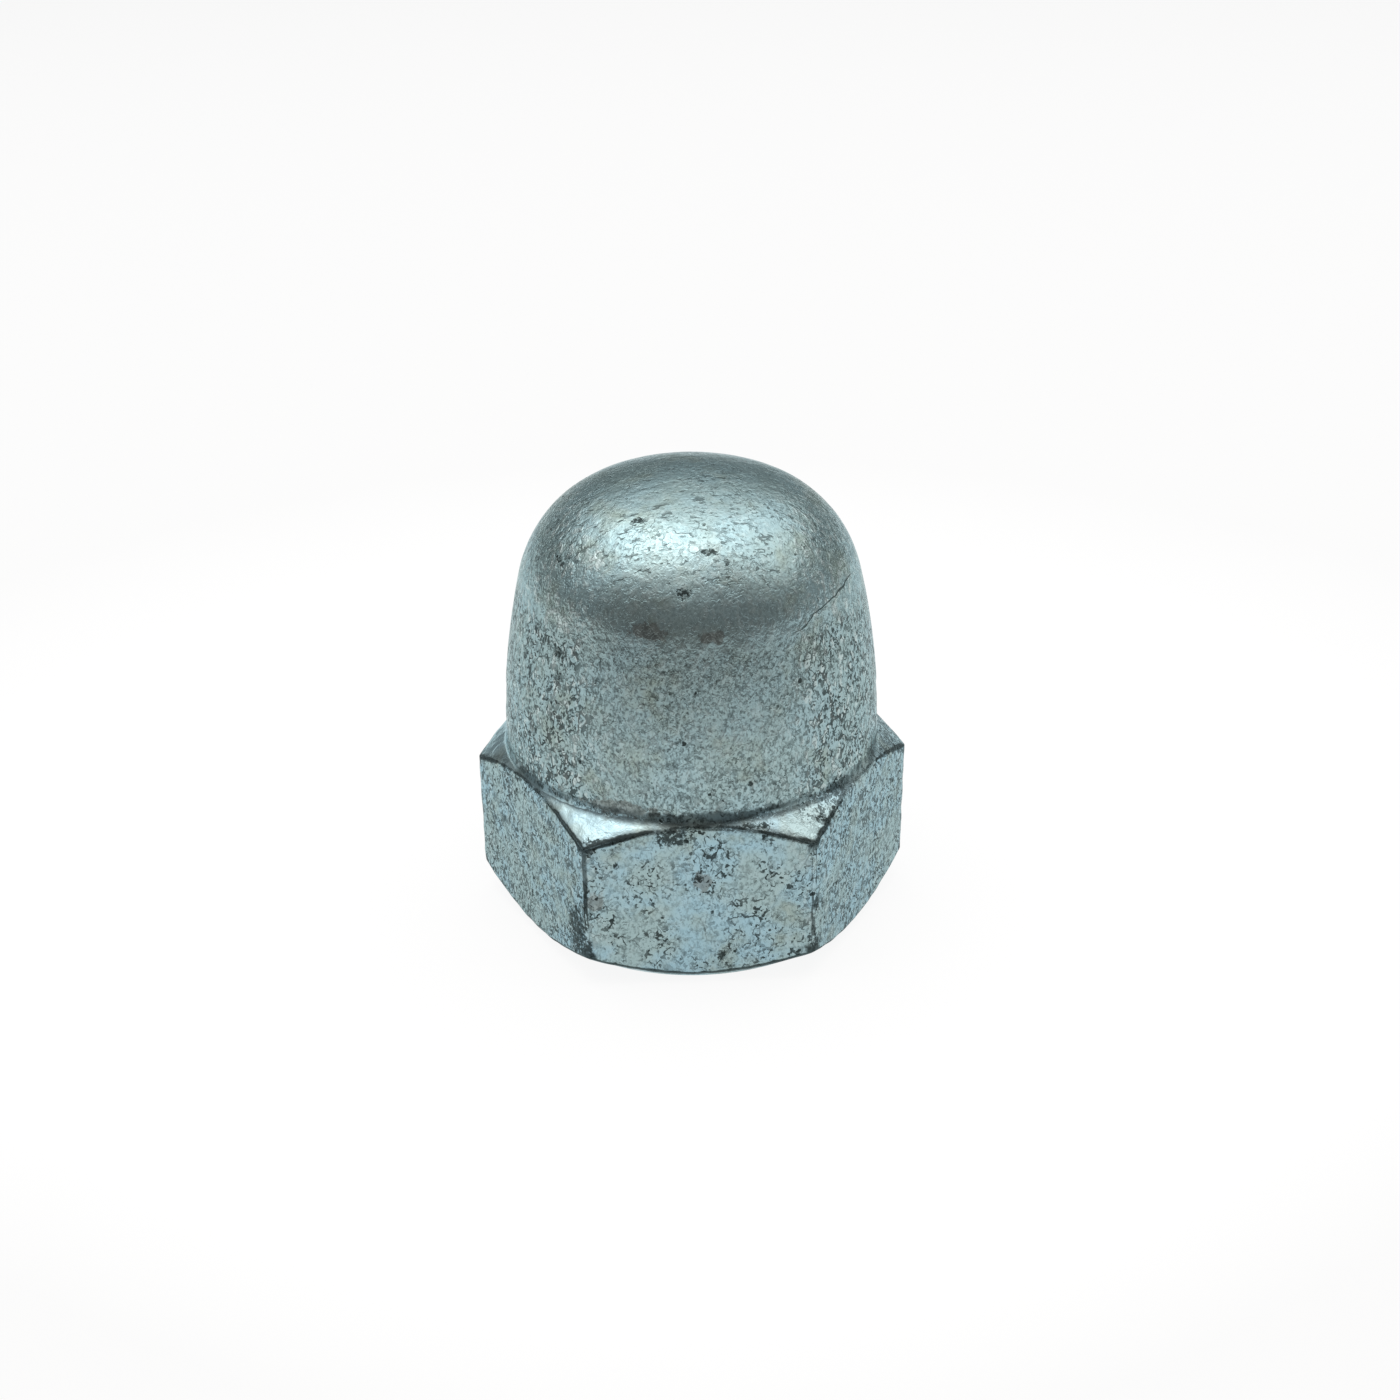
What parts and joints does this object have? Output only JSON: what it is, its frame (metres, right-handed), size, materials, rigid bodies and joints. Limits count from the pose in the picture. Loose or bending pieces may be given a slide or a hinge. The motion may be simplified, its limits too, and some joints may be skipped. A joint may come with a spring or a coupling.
{
  "type": "cap nut",
  "caption": "Hexagonal nut closed by a tall rounded dome, with a blind threaded hole that covers and protects the end of a bolt.",
  "frame": {"origin": "centre of the bearing face, where the nut meets the work", "axes": "+Z along the thread's axis from the bearing face to the dome's crown; two of the six flats are square to Y and two corners lie on X"},
  "size_m": [0.0276, 0.024, 0.0288],
  "materials": {
    "zinc_plated_steel": "zinc plated and blue passivated, handled and scratched"
  },
  "bodies": {
    "root": {"cap_nut": "zinc_plated_steel"}
  },
  "joints": []
}
